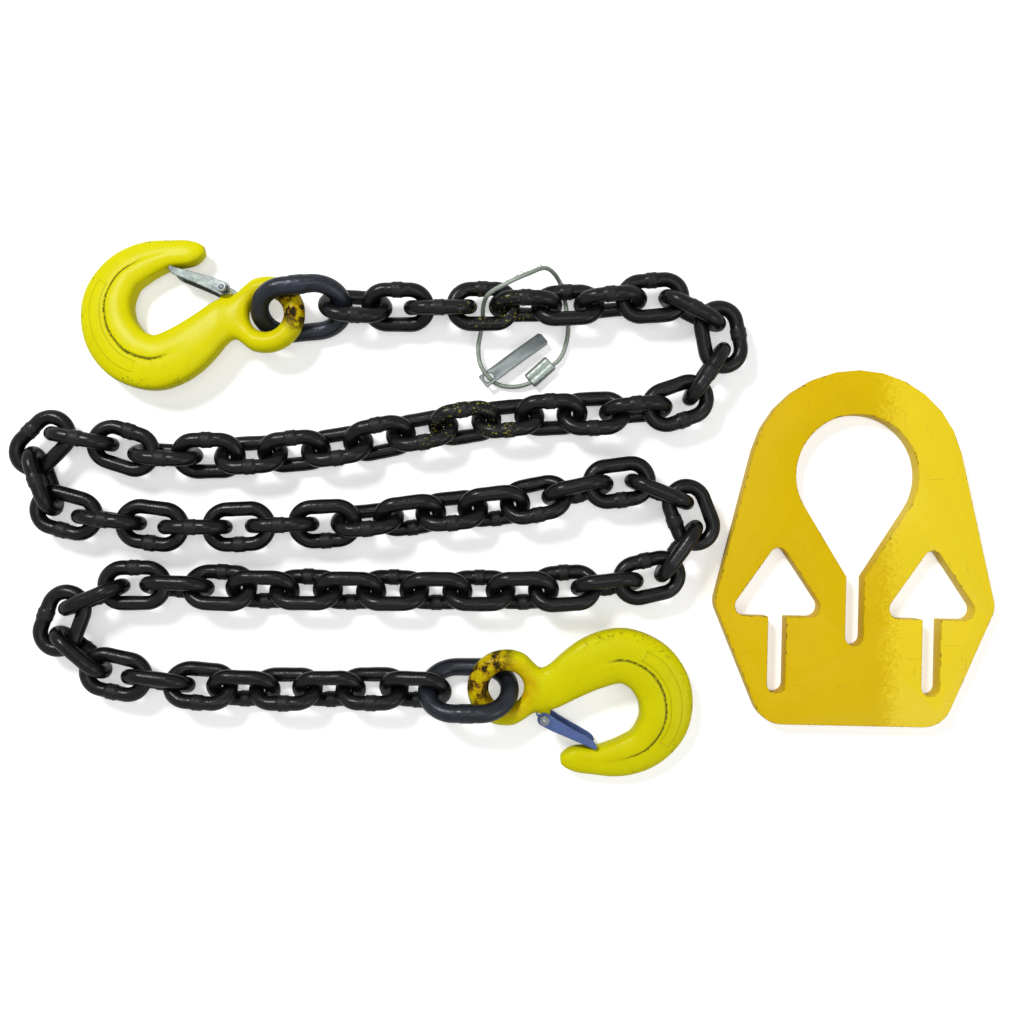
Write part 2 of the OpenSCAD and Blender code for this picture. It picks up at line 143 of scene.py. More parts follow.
# %% [markdown]
# A tube is a circle carried along a path. The circle is squared up against the path's direction
# and a side direction that is passed on from ring to ring, so the tube doesn't twist.

# %% Tubes and smooth curves
def unit(v):
    return v / np.linalg.norm(v, axis=-1, keepdims=True)


def full_turn(count):
    """The angles of points spaced evenly round a circle."""
    return np.arange(count) / count * 2 * np.pi


def curve_through(points, steps, closed=False):
    """Catmull-Rom curve. From b to c: half of 2b + (c-a)t + (2a-5b+4c-d)t^2 + (3b-a-3c+d)t^3."""
    p = np.asarray(points, float)
    if closed:
        a, b, c, d = np.roll(p, 1, 0), p, np.roll(p, -1, 0), np.roll(p, -2, 0)
    else:
        padded = np.concatenate([p[:1], p, p[-1:]])
        a, b, c, d = padded[:-3], padded[1:-2], padded[2:-1], padded[3:]
    t = (np.arange(steps) / steps)[None, :, None]
    a, b, c, d = (q[:, None, :] for q in (a, b, c, d))
    line = 2 * b + (c - a) * t + (2 * a - 5 * b + 4 * c - d) * t**2 + (3 * b - a - 3 * c + d) * t**3
    line = line.reshape(-1, p.shape[1]) / 2
    return line if closed else np.concatenate([line, p[-1:]])


def frames_along(path):
    """Direction, side and up at each point; the side starts level and is carried on untwisted."""
    along = unit(np.gradient(path, axis=0))
    side = np.empty_like(along)
    seed = np.array([0.0, 0.0, 1.0]) if abs(along[0][2]) < 0.9 else np.array([1.0, 0.0, 0.0])
    last = unit(np.cross(seed, along[0]))
    for k, direction in enumerate(along):
        last = unit(last - direction * np.dot(last, direction))
        side[k] = last
    return along, side, np.cross(along, side)


def tube_grid(path, radius, sides):
    """Ring k at path[k]: radius * (cos(a) * side + sin(a) * up). Radius may vary by k and a."""
    _, side, up = frames_along(path)
    a = full_turn(sides)
    r = np.broadcast_to(radius, (len(path), sides))[..., None]
    ring = np.cos(a)[None, :, None] * side[:, None, :] + np.sin(a)[None, :, None] * up[:, None, :]
    return path[:, None, :] + r * ring


print("a corner of 3 points as a curve:", curve_through([[0, 0, 0], [1, 0, 0], [1, 1, 0]], 6).shape)

# %% [markdown]
# The tag hangs on a loop of thin wire rope. It is the one cord of this object. It leaves the
# crimped sleeve at one end and comes back into it at the other, so its far end is in the object.
# Its points are those of the CAD route, moved like the rest.

# %% The wire rope of the tag
ROPE_D = 4.0
ROPE_WAY = np.array([
    [32, 127, 5], [44, 139, 3.8], [50, 160, 3], [48, 184, 2.6], [42, 206, 3.4], [30, 213, 24],
    [14, 204, 44], [-4, 195, 49], [-20, 187, 41], [-25, 180, 24], [-26, 171, 9], [-28, 159, 5],
    [-30, 146, 5], [-28, 131, 10.5], [-20.5, 119.5, 6.6], [-10, 113, 3], [5, 112, 3.2],
    [20, 117, 4.5],
])
# Only the loop's points between these two show outside the sleeve.
FIRST_OUT, LAST_OUT = 4, -12
loop = curve_through(ROPE_WAY, 24, closed=True)
rope_path = (loop[FIRST_OUT:LAST_OUT] + LAID) * MM


def rope_grid(path, diameter, lay=0.022, sides=36):
    """Six strands wound together: the radius dips between them, and they turn once per lay."""
    along = np.concatenate([[0], np.cumsum(np.linalg.norm(np.diff(path, axis=0), axis=1))])
    a = full_turn(sides)
    wave = np.abs(np.cos(3 * (a[None, :] - 2 * np.pi * along[:, None] / lay)))
    return tube_grid(path, diameter / 2 * (0.86 + 0.14 * np.sqrt(wave)), sides)


rope_mesh = mesh_of("tag_rope", [(rope_grid(rope_path, ROPE_D * MM), False, True, True)])

# %% [markdown]
# Some wires of the rope have broken where it rubs on the chain, and stand off it in short hairs.
# Each hair starts on the rope, follows it for a bit and then leaves it.

# %% Broken wires
def hair_grid(start, along, out, length, radius=0.00016):
    """A point moves along by f * length while it leaves the rope by f^2 * 0.5 * length."""
    f = np.linspace(0, 1, 9)[:, None]
    return tube_grid(start + along * f * length + out * (f**2) * length * 0.5, radius, 6)


# The rope's points between these two pass over the chain.
RUBBED_FROM, RUBBED_TO, HAIRS = 118, 160, 15
rng = np.random.default_rng(7)
rope_along, rope_side, rope_up = frames_along(rope_path)
hairs = []
for k in np.linspace(RUBBED_FROM, RUBBED_TO, HAIRS).astype(int):
    turn = rng.uniform(0.2, 2.4)
    away = np.cos(turn) * rope_side[k] + np.sin(turn) * rope_up[k]
    away = away * (1 if away[1] + away[2] > 0 else -1)
    start, along = rope_path[k] + away * 0.0016, rope_along[k] * rng.choice([-1, 1])
    hairs.append(hair_grid(start, along, away, rng.uniform(0.004, 0.0075)))
hair_mesh = mesh_of("tag_rope_hairs", [(h, False, True, True) for h in hairs])
print(len(hairs), "broken wires")

# %% [markdown]
# Shader maths reads best as plain sums. The class below wraps one output of a node and gives it the
# operators + - * / and a few named steps, so an expression on masks adds its own Math nodes.

# %% Sums on sockets
class Value:
    """A node's output that can be added, multiplied, compared and blended like a number."""

    def __init__(self, finish, socket):
        self.finish, self.socket = finish, socket

    def math(self, operation, *others, clamp=False):
        settings = {"operation": operation, "use_clamp": clamp}
        return self.finish.node("ShaderNodeMath", settings, dict(enumerate((self, *others))))

    def __add__(self, other):
        return self.math("ADD", other)

    def __mul__(self, other):
        return self.math("MULTIPLY", other)

    def __sub__(self, other):
        return self.math("SUBTRACT", other)

    def __truediv__(self, other):
        return self.math("DIVIDE", other)

    def __rsub__(self, other):
        return (self * -1) + other

    __radd__, __rmul__ = __add__, __mul__

    def at_most_one(self):
        return self.math("MINIMUM", 1.0)

    def between(self, low, high):
        """0 at low and below, 1 at high and above, and straight in between."""
        return ((self - low) / (high - low)).math("ADD", 0, clamp=True)

    def band(self, middle, half):
        """1 at middle, falling to 0 at a distance of half."""
        return 1 - (self - middle).math("ABSOLUTE").between(0, half)


class Finish:
    """One material: a Principled shader with the nodes that feed it."""

    def __init__(
        self, name, color, roughness, metallic=0.0, coat=0.0, coat_roughness=0.1, specular=0.5
    ):
        self.material = bpy.data.materials.new(name)
        self.material.use_nodes = True
        self.tree = self.material.node_tree
        self.shader = self.tree.nodes["Principled BSDF"]
        self.shader.inputs["Roughness"].default_value = roughness
        self.shader.inputs["Metallic"].default_value = metallic
        self.shader.inputs["Coat Weight"].default_value = coat
        self.shader.inputs["Coat Roughness"].default_value = coat_roughness
        self.shader.inputs["Specular IOR Level"].default_value = specular
        self.color = (*color, 1)
        self.place = self.node("ShaderNodeTexCoord", output="Object")

    def node(self, kind, settings=None, inputs=None, output=0):
        made = self.tree.nodes.new(kind)
        for key, setting in (settings or {}).items():
            setattr(made, key, setting)
        for key, given in (inputs or {}).items():
            if isinstance(given, Value):
                self.tree.links.new(given.socket, made.inputs[key])
            else:
                made.inputs[key].default_value = given
        return Value(self, made.outputs[output])

    def noise(self, scale, detail=4.0, roughness=0.55, stretch=None, shift=0.0):
        """Noise in the object's own metres, so a scale of 100 has lumps of about a centimetre."""
        place = self.place
        if stretch:
            moved = {"Vector": place, "Scale": stretch, "Location": (shift, shift, shift)}
            place = self.node("ShaderNodeMapping", {}, moved)
        inputs = {"Vector": place, "Scale": scale, "Detail": detail, "Roughness": roughness}
        return self.node("ShaderNodeTexNoise", {}, inputs)

    def attribute(self, name):
        return self.node("ShaderNodeAttribute", {"attribute_name": name}, output="Fac")

    def blend(self, mask, under, over):
        """The colour under, turning into the colour over where the mask is 1."""
        factor, color_a, color_b, color_out = 0, 6, 7, 2
        inputs = {factor: mask, color_a: under, color_b: (*over, 1)}
        return self.node("ShaderNodeMix", {"data_type": "RGBA"}, inputs, color_out)

    def wear(self, mask, color):
        """Lays another colour over what has been mixed so far."""
        self.color = self.blend(mask, self.color, color)

    def bump(self, height, distance):
        """Raises the skin by up to distance, in metres, where height is 1."""
        inputs = {"Height": height, "Distance": distance, "Strength": 1.0}
        self.feed("Normal", self.node("ShaderNodeBump", {}, inputs))

    def feed(self, name, value):
        self.tree.links.new(value.socket, self.shader.inputs[name])

    def done(self):
        if isinstance(self.color, Value):
            self.feed("Base Color", self.color)
        else:
            self.shader.inputs["Base Color"].default_value = self.color
        return self.material


print("shader sums ready")

# %% [markdown]
# The chain is alloy steel with a near-black satin skin. It isn't one flat black: links differ a
# little, handling has rubbed the high spots to grey, and dust lies on it. The grey rub marks are
# also a painted sheen: lighter grey that stands in for the glints off the links. The weld in the
# middle of one leg of each link is rougher. A few links carry specks of the hook's yellow paint.

# %% Black chain steel
chain = Finish("chain_black", (0.0022, 0.0025, 0.003), 0.3, specular=0.17)
tone = chain.attribute("link_tone")
mottle = chain.noise(160, 5, 0.6)
chain.wear(mottle.between(0.35, 0.75) * 0.5, (0.009, 0.0095, 0.0105))
chain.wear(tone * 0.3, (0.01, 0.0105, 0.0115))
# Lighter grey marks: partly rubbed wear, partly a painted sheen standing in for glints off the
# links.
rub_and_painted_sheen = chain.noise(420, 6, 0.7).between(0.58, 0.78) * chain.noise(70, 2).between(0.42, 0.62)
chain.wear(rub_and_painted_sheen * 0.6, (0.055, 0.057, 0.062))
dust = chain.noise(900, 3, 0.6).between(0.66, 0.8)
chain.wear(dust * 0.3, (0.08, 0.078, 0.07))
weld_rough = chain.attribute("weld")
chain.wear(weld_rough * 0.5, (0.011, 0.011, 0.012))
flecks = chain.noise(420, 3, 0.6).between(0.62, 0.64) * chain.attribute("paint_specks")
chain.wear(flecks, (0.45, 0.4, 0.02))
chain.feed("Roughness", 0.15 + mottle * 0.14 + weld_rough * 0.16 + dust * 0.2)
skin = chain.noise(700, 4, 0.6) * 0.5
chain.bump(skin + mottle * 0.6 + weld_rough * chain.noise(900, 4, 0.7), 0.00026)
CHAIN = chain.done()

# %% [markdown]
# The two coupling links are forged a size larger and have a blue-grey tempered look, shinier where
# they are rubbed.

# %% Blue-grey coupling steel
coupling = Finish("coupling_steel", (0.012, 0.0145, 0.019), 0.34, metallic=0.3, specular=0.25)
heat = coupling.noise(55, 3)
coupling.wear(heat.between(0.4, 0.7) * 0.7, (0.03, 0.035, 0.055))
coupling.wear(coupling.noise(240, 6, 0.7).between(0.6, 0.75) * 0.6, (0.022, 0.024, 0.022))
coupling.wear(coupling.noise(800, 4, 0.6).between(0.68, 0.78) * 0.5, (0.2, 0.2, 0.21))
coupling.feed("Roughness", 0.16 + heat * 0.16)
coupling.bump(coupling.noise(600, 5, 0.6), 0.00025)
COUPLING = coupling.done()

# %% [markdown]
# The links are oval rings of round bar. A link's outline is two straight legs joined by half
# circles. Where each link lies is measured from its CAD mesh: the mesh is merged, split into its
# loose parts, and the three axes of each part come from how its points spread.

# %% Where the links lie
def loose_parts(node):
    """Points of each connected part: all take their neighbours' lowest number till none changes."""
    copy = bmesh.new()
    copy.from_mesh(frame["nodes"][node].data)
    bmesh.ops.remove_doubles(copy, verts=copy.verts, dist=1e-6)
    copy.verts.index_update()
    points = np.array([v.co for v in copy.verts])
    edges = np.array([[v.index for v in e.verts] for e in copy.edges])
    copy.free()
    label = np.arange(len(points))
    while True:
        low = np.minimum(label[edges[:, 0]], label[edges[:, 1]])
        new = label.copy()
        np.minimum.at(new, edges[:, 0], low)
        np.minimum.at(new, edges[:, 1], low)
        new = new[new]
        if np.array_equal(new, label):
            break
        label = new
    return [points[label == k] for k in np.unique(label)]


def link_pose(points, weld_half=0.007):
    """Middle, long axis, and the axis through the legs, which points at the leg with the weld."""
    middle = points.mean(0)
    _, axes = np.linalg.eigh(np.cov((points - middle).T))
    long_axis, leg_axis = axes[:, 2], axes[:, 1]
    for axis in (long_axis, leg_axis, axes[:, 0]):
        reach = (points - middle) @ axis
        middle = middle + axis * (reach.max() + reach.min()) / 2
    offset = points - middle
    near_weld = np.abs(offset @ long_axis) < weld_half
    if (offset[near_weld] @ leg_axis).sum() < 0:
        leg_axis = -leg_axis
    return middle, long_axis, leg_axis


chain_nodes = sorted(n for n in frame["nodes"] if n.startswith("link"))
poses = {node: [link_pose(part) for part in loose_parts(node)] for node in chain_nodes}
print(sum(len(p) for p in poses.values()), "links found in", len(poses), "CAD nodes")


# %% One link
CHAIN_BAR, CHAIN_PITCH, CHAIN_HOLE = 13, 39, 18
COUPLING_BAR, COUPLING_PITCH, COUPLING_HOLE = 16, 56.5, 34


def link_grid(bar, hole_l, hole_w, pose, rings=88, sides=18, seed=0, weld=0.9):
    """Rings at distances s round the oval; the bar swells at the weld and inside the two ends."""
    middle, long_axis, leg_axis = pose
    r = (hole_w + bar) / 2
    leg = hole_l - hole_w
    turn = np.pi * r
    total = 2 * (leg + turn)
    s = np.arange(rings) / rings * total
    q = (s + leg / 2) % total
    stretch = [q < leg, q < leg + turn, q < 2 * leg + turn]
    a = np.select(stretch, [0 * q, (q - leg) / r, 0 * q + np.pi], np.pi + (q - 2 * leg - turn) / r)
    across_end = r * np.sin(a)
    on_legs = [q - leg / 2, leg / 2 + across_end, leg / 2 - (q - leg - turn)]
    x = np.select(stretch, on_legs, -leg / 2 + across_end)
    y = r * np.cos(a)
    outward = np.stack([np.sin(a), np.cos(a)], -1)
    phi = full_turn(sides)
    from_weld = np.minimum(s, total - s)
    lump = 1 / (1 + np.exp((from_weld - 4.4 * bar / CHAIN_BAR) * 3))
    ridge = np.exp(-(((from_weld - 3.6 * bar / CHAIN_BAR) / 0.9) ** 2))
    swell = weld * (0.75 * lump + 0.35 * ridge)
    round_it = s / total * 2 * np.pi
    waver = 0.1 * np.sin(round_it * 3 + seed) + 0.07 * np.sin(round_it * 7 + seed * 2.3)
    crown = 0.35 * np.exp(-(((np.abs(x) - leg / 2 - r) / 3.5) ** 2))
    inside = np.clip(-np.cos(phi), 0, 1)
    radius = bar / 2 - 0.08 + (swell + waver)[:, None] + crown[:, None] * inside[None, :]
    radius = radius + 0.06 * np.sin(2 * phi + seed)[None, :]
    away = (radius * np.cos(phi)[None, :])[..., None] * outward[:, None, :]
    flat = np.stack([x, y], -1)[:, None, :] + away
    up = radius * np.sin(phi)[None, :]
    normal = np.cross(long_axis, leg_axis)
    grid = flat[..., :1] * long_axis + flat[..., 1:] * leg_axis + up[..., None] * normal
    return middle + grid * MM, np.repeat(np.clip(swell / weld * 1.4, 0, 1), sides)


# Links near these places, in millimetres on the floor, carry specks of paint.
SPECKED = np.array([[-20, 94], [-40, 90], [-56, 62], [-2, 68], [-23, 172], [9, 171]])
made_tris = 0
for number, (node, found) in enumerate(poses.items()):
    grids, welds, tones = [], [], []
    for k, pose in enumerate(found):
        seed = number * 2.1 + k * 1.3
        grid, weld_mask = link_grid(CHAIN_BAR, CHAIN_PITCH, CHAIN_HOLE, pose, seed=seed)
        grids.append((grid, True, True, False))
        welds.append(weld_mask)
        tones.append(np.full(len(weld_mask), (np.sin(number * 12.9 + k * 4.7) + 1) / 2))
    name = node.replace("link", "forged_link")
    mesh = mesh_of(name, grids)
    set_attribute(mesh, "weld", np.concatenate(welds))
    set_attribute(mesh, "link_tone", np.concatenate(tones))
    where = vertices_of(mesh)[:, :2] / MM
    near = np.min([np.linalg.norm(where - spot, axis=1) for spot in SPECKED], axis=0)
    set_attribute(mesh, "paint_specks", np.clip(1.2 - near / 16, 0, 1))
    body = next(b for b, nodes in frame["record"]["behaviour"]["bodies"].items() if node in nodes)
    add_piece(name, mesh, body, [node], CHAIN)
    made_tris += 2 * len(mesh.polygons)
print(f"{len(poses)} pieces of chain, {made_tris} triangles")

# %% The coupling links
for number in "12":
    node = f"coupling_link_{number}"
    pose = link_pose(loose_parts(node)[0])
    sizes = (COUPLING_BAR, COUPLING_PITCH, COUPLING_HOLE)
    grid, _ = link_grid(*sizes, pose, rings=120, sides=28, seed=float(number), weld=0.6)
    mesh = mesh_of(f"forged_{node}", [(grid, True, True, False)])
    add_piece(f"forged_{node}", mesh, f"coupling_{number}", [node], COUPLING)
    print(node, "middle at", np.round(pose[0], 4))

# %% [markdown]
# The hooks are drop forgings: a ring for the eye runs into a curved body that swells round the bowl
# and thins out to the tip. A forging has no sharp inside corners, so its parts are made as closed
# skins that overlap, a voxel remesh joins them into one, and a little smoothing rounds the joins.

# %% The hook's own places
EYE_R, EYE_BAR, BODY_T = 24.75, 18.5, 13.5
PIVOT, LUG_R, LUG_HIGH = np.array([36.0, -21.0]), 5.6, 4
PIN_AT = np.array([PIVOT[0], PIVOT[1], 0])
# Each station: x and y of the middle line, half the width across it, and its share of BODY_T.
STATIONS = np.array([
    [21, 0, 13, 0.52], [29, 0.5, 17, 0.66], [37, 4.5, 18.5, 0.78], [51, 15.5, 19.7, 0.86],
    [70, 31, 23, 0.93], [87, 40, 24, 0.97], [101.5, 42, 24, 1], [120, 35.5, 24.6, 1],
    [132.5, 23.5, 24.7, 1], [139.8, 9.5, 24, 1], [142.3, -7.5, 22.9, 1], [138.8, -22.5, 21.5, 0.97],
    [129.5, -37, 19.2, 0.93], [115.5, -46.5, 17.7, 0.89], [101.5, -52, 15.5, 0.84],
    [86.5, -55, 12.5, 0.78], [71, -56, 11.4, 0.71], [62, -57.5, 8, 0.58], [57, -58.5, 4, 0.36],
])


def turned(roll, dip, head):
    """Turns about X by roll, then Y by dip, then Z by head, in degrees."""
    angles = np.radians([roll, dip, head])
    (cx, cy, cz), (sx, sy, sz) = np.cos(angles), np.sin(angles)
    about_x = np.array([[1, 0, 0], [0, cx, -sx], [0, sx, cx]])
    about_y = np.array([[cy, 0, sy], [0, 1, 0], [-sy, 0, cy]])
    about_z = np.array([[cz, -sz, 0], [sz, cz, 0], [0, 0, 1]])
    return about_z @ about_y @ about_x


HOOKS = {
    "1": (np.array([-214.0, 172, 26]) + LAID, turned(6, 4, 180)),
    "2": (np.array([-5.0, -153, 26]) + LAID, turned(8, 4, -8)),
}
LATCH_ANGLE = -20.5


def placed(points, hook):
    """From a hook's own millimetres to the row frame's metres."""
    at, turn = HOOKS[hook]
    return (points @ turn.T + at) * MM


def soft_step(x, low, high):
    t = np.clip((x - low) / (high - low), 0, 1)
    return t * t * (3 - 2 * t)


# %% The skins of a hook
def body_grid(steps=8, sides=72):
    """Section k: across = half width * cos(a)^0.75 and high = half thickness * sin(a)^0.56.

    In the bowl the face is lowered outside the round lip, with a shallow groove beside the lip.
    """
    line = curve_through(STATIONS, steps)
    along = unit(np.gradient(line[:, :2], axis=0))
    a = full_turn(sides)
    cos, sin = np.cos(a), np.sin(a)
    across = np.sign(cos) * np.abs(cos) ** 0.75
    high = np.sign(sin) * np.abs(sin) ** 0.56 * (0.94 + 0.06 * cos)
    t = np.arange(len(line)) / steps
    bowl = soft_step(t, 3.5, 6) * (1 - soft_step(t, 13, 15.5))
    lip = soft_step(across, -0.02, 0.16)
    beside_lip = np.exp(-(((across - 0.06) / 0.07) ** 2))
    drop = 1 - bowl[:, None] * (0.07 * (1 - lip) + 0.05 * beside_lip)[None, :]
    u = line[:, 2:3] * across[None, :]
    z = line[:, 3:4] * BODY_T * high[None, :] * drop
    return np.stack([line[:, :1] + along[:, 1:] * u, line[:, 1:2] - along[:, :1] * u, z], -1)


def eye_grid(rings=144, sides=48):
    """A ring of round bar about the origin: (R + r cos b) turned by a, at height r sin b."""
    a, b = np.meshgrid(full_turn(rings), full_turn(sides), indexing="ij")
    out = EYE_R + EYE_BAR / 2 * np.cos(b)
    return np.stack([out * np.cos(a), out * np.sin(a), EYE_BAR / 2 * np.sin(b)], -1)


def bar_grid(start, end, wide, high, sides=36, rings=9):
    """A straight bar, squarish in section: radius (|cos a / wide|^5 + |sin a / high|^5)^(-1/5)."""
    a = full_turn(sides)
    radius = (np.abs(np.cos(a) / wide) ** 5 + np.abs(np.sin(a) / high) ** 5) ** -0.2
    return tube_grid(np.linspace(start, end, rings), radius, sides)


def worked_out(rough, name):
    """The mesh that an object's modifiers make; the object itself is removed."""
    depsgraph = bpy.context.evaluated_depsgraph_get()
    mesh = bpy.data.meshes.new_from_object(rough.evaluated_get(depsgraph))
    bpy.data.objects.remove(rough)
    mesh.name = name
    return mesh


def forged(name, grids, voxel, smooth_steps):
    """One closed skin: voxel remesh of the overlapping grids, smoothed."""
    rough = bpy.data.objects.new(name + "_rough", mesh_of(name + "_rough", grids))
    bpy.context.collection.objects.link(rough)
    remesh = rough.modifiers.new("join", "REMESH")
    remesh.mode, remesh.voxel_size, remesh.use_smooth_shade = "VOXEL", voxel, True
    soften = rough.modifiers.new("soften", "SMOOTH")
    soften.factor, soften.iterations = 0.5, smooth_steps
    return worked_out(rough, name)


lug_line = np.linspace([*PIVOT, -LUG_HIGH], [*PIVOT, LUG_HIGH], 9)
hook_skin = forged("hook_skin", [
    (eye_grid() * MM, True, True, False),
    (body_grid() * MM, False, True, True),
    (tube_grid(lug_line, LUG_R, 36) * MM, False, True, True),
    (bar_grid([*PIVOT, 0], [PIVOT[0], PIVOT[1] + 15, 0], 5.5, LUG_HIGH) * MM, False, True, True),
], voxel=0.00095, smooth_steps=5)
hook_points = vertices_of(hook_skin) / MM


def ease_neck(points, edges, neck_x=27, rounds=150):
    """Fills the crease at the neck: points move half way to their neighbours' mean, many times."""
    from_eye = np.linalg.norm(points[:, :2], axis=1)
    near = soft_step(-np.abs(points[:, 0] - neck_x), -16, -6) * soft_step(from_eye, 18, 22)
    count = np.bincount(edges.ravel(), minlength=len(points))[:, None]
    for _ in range(rounds):
        total = np.stack([
            np.bincount(edges[:, 0], points[edges[:, 1], k], len(points))
            + np.bincount(edges[:, 1], points[edges[:, 0], k], len(points))
            for k in range(3)
        ], -1)
        points = points + 0.5 * near[:, None] * (total / count - points)
    return points


edge_ends = np.empty(len(hook_skin.edges) * 2, np.int32)
hook_skin.edges.foreach_get("vertices", edge_ends)
hook_points = ease_neck(hook_points, edge_ends.reshape(-1, 2))
print("one hook:", len(hook_skin.polygons), "faces")

# %% [markdown]
# The paint needs to know where it is on the hook. Each vertex gets its distance along the body and
# across it, so that the groove beside the bowl's lip, and the low raised frame outside it, can be
# drawn by the shader as fine lines. Another number says how close it is to where the coupling rubs.

# %% Places for paint and wear
LINE_STEPS = 12
line = curve_through(STATIONS, LINE_STEPS)
away = ((hook_points[:, None, :2] - line[None, :, :2]) ** 2).sum(-1)
nearest = away.argmin(1)
step = np.gradient(line[:, :2], axis=0)
direction = unit(step)[nearest]
offset = hook_points[:, :2] - line[nearest, :2]
fine = (offset * direction).sum(1) / np.linalg.norm(step[nearest], axis=1)
hook_along = (nearest + np.clip(fine, -0.6, 0.6)) / LINE_STEPS
hook_across = (offset[:, 0] * direction[:, 1] - offset[:, 1] * direction[:, 0]) / line[nearest, 2]
hook_high = hook_points[:, 2] / (BODY_T * line[nearest, 3])
eye_angle = np.degrees(np.arctan2(hook_points[:, 1], hook_points[:, 0]))
eye_distance = np.linalg.norm(hook_points[:, :2], axis=1)
on_eye = soft_step(-hook_points[:, 0], -16, 4) * soft_step(36 - eye_distance, -4, 3)
near_hole = soft_step(-eye_distance, -34, -20)
print(f"along to {hook_along.max():.1f}, across {hook_across.min():.2f} to {hook_across.max():.2f}")

# %% [markdown]
# Lemon-yellow enamel over steel. It is chipped to black along the groove and the outer edge,
# darker along the groove, and worn through to brown rust where the coupling link works in the eye.
# EYE_RUST says for each hook where round the eye that is, how far it spreads, and how stained the
# hole is.

# %% Hook enamel
LEMON = (0.63, 0.585, 0.0015)
hook_paint = Finish("hook_enamel", LEMON, 0.34, coat=0.03, coat_roughness=0.16, specular=0.05)
clouds = hook_paint.noise(38, 4, 0.55)
hook_paint.wear(clouds.between(0.38, 0.68) * 0.55, (0.69, 0.66, 0.003))
hook_paint.wear(hook_paint.noise(120, 4, 0.6).between(0.55, 0.8) * 0.4, (0.53, 0.46, 0.001))
along, across, high = (hook_paint.attribute(name) for name in ("along", "across", "high"))
chips = hook_paint.noise(330, 6, 0.72)
on_top = high.between(0.5, 0.8)
round_bowl = along.between(4.6, 5.4) * (1 - along.between(12.5, 13.4))
groove = (across + chips * 0.16 - 0.08).band(0.06, 0.055) * round_bowl * on_top
frame_out = across.band(-0.52, 0.035) + across.band(-0.13, 0.03)
frame_ends = along.band(6.5, 0.07) + along.band(11.2, 0.07)
inside = along.between(6.4, 6.5) * (1 - along.between(11.2, 11.3)) * on_top
within = across.between(-0.54, -0.5) * (1 - across.between(-0.15, -0.11))
raised = frame_out * inside + frame_ends * within * on_top
edge = 1 - high.math("ABSOLUTE").between(0.55, 0.9)
outer = across.math("LESS_THAN", -0.7)
knocked = edge * outer * clouds.between(0.46, 0.56)
chipped = groove * chips.between(0.42, 0.5) + knocked * chips.between(0.58, 0.62)
chipped = (chipped + chips.between(0.71, 0.73)).at_most_one()
# The groove is painted a darker yellow.
hook_paint.wear(groove * 0.45, (0.3, 0.25, 0.01))
rust_zone, stain = hook_paint.attribute("eye_wear"), hook_paint.attribute("eye_stain")
grime = hook_paint.noise(95, 5, 0.65)
hook_paint.wear(stain * grime.between(0.3, 0.62) * 0.8, (0.58, 0.33, 0.004))
hook_paint.wear(rust_zone * grime.between(0.3, 0.5) * 0.85, (0.36, 0.17, 0.002))
worn = (rust_zone * grime.between(0.47, 0.54)).at_most_one()
hook_paint.wear(worn * 0.9, (0.075, 0.042, 0.003))
hook_paint.wear(worn * chips.between(0.44, 0.5), (0.012, 0.011, 0.006))
hook_paint.wear(stain * chips.between(0.66, 0.7) * 0.8, (0.05, 0.035, 0.01))
hook_paint.wear(chipped * 0.92, (0.02, 0.019, 0.016))
hook_paint.feed("Roughness", 0.26 + clouds * 0.14 + chipped * 0.3 + worn * 0.35)
hook_paint.feed("Coat Weight", 0.03 - (chipped + worn).at_most_one() * 0.03)
skin = clouds * 0.35 + hook_paint.noise(260, 4) * 0.3 + raised * 0.5
hook_paint.bump(skin - groove * 0.7 - chipped * 0.25 - worn * 0.2, 0.0011)
HOOK_PAINT = hook_paint.done()

EYE_RUST = {"1": (199, 62, 0.35), "2": (159, 88, 1.0)}
for number, (wear_from, wear_span, stained) in EYE_RUST.items():
    name = f"forged_hook_{number}"
    mesh = hook_skin.copy()
    mesh.name = name
    mesh.vertices.foreach_set("co", placed(hook_points, number).ravel())
    set_attribute(mesh, "along", hook_along)
    set_attribute(mesh, "across", hook_across)
    set_attribute(mesh, "high", hook_high)
    turn_off = np.abs((eye_angle - wear_from + 180) % 360 - 180)
    set_attribute(mesh, "eye_wear", on_eye * (1 - soft_step(turn_off, wear_span / 3, wear_span)))
    set_attribute(mesh, "eye_stain", stained * near_hole)
    shade(mesh, True)
    add_piece(name, mesh, f"hook_{number}_body", [f"hook_{number}"], HOOK_PAINT)
bpy.data.meshes.remove(hook_skin)
print("two hooks painted")

# %% [markdown]
# The latch is one piece of sheet steel bent to a channel: two tapered cheeks that straddle the
# hook's lug, and a floor between them that shuts against the tip. Three thin skins joined by a
# fine remesh give it the soft edges of pressed metal. Both are zinc plated, one pale and one
# passivated blue.

# %% The latch
LATCH_LEN, LATCH_T, LATCH_GAP, EAR_R = 53, 2, 18, 6


def latch_low(x):
    """Height of the cheek's lower edge, where the floor lies: it rises from the ear to the tip."""
    places = [0, 5, 12, 30, LATCH_LEN - 6, LATCH_LEN]
    return np.interp(x, places, [-EAR_R, -6, -5.9, -4.6, -3.2, -3.1])


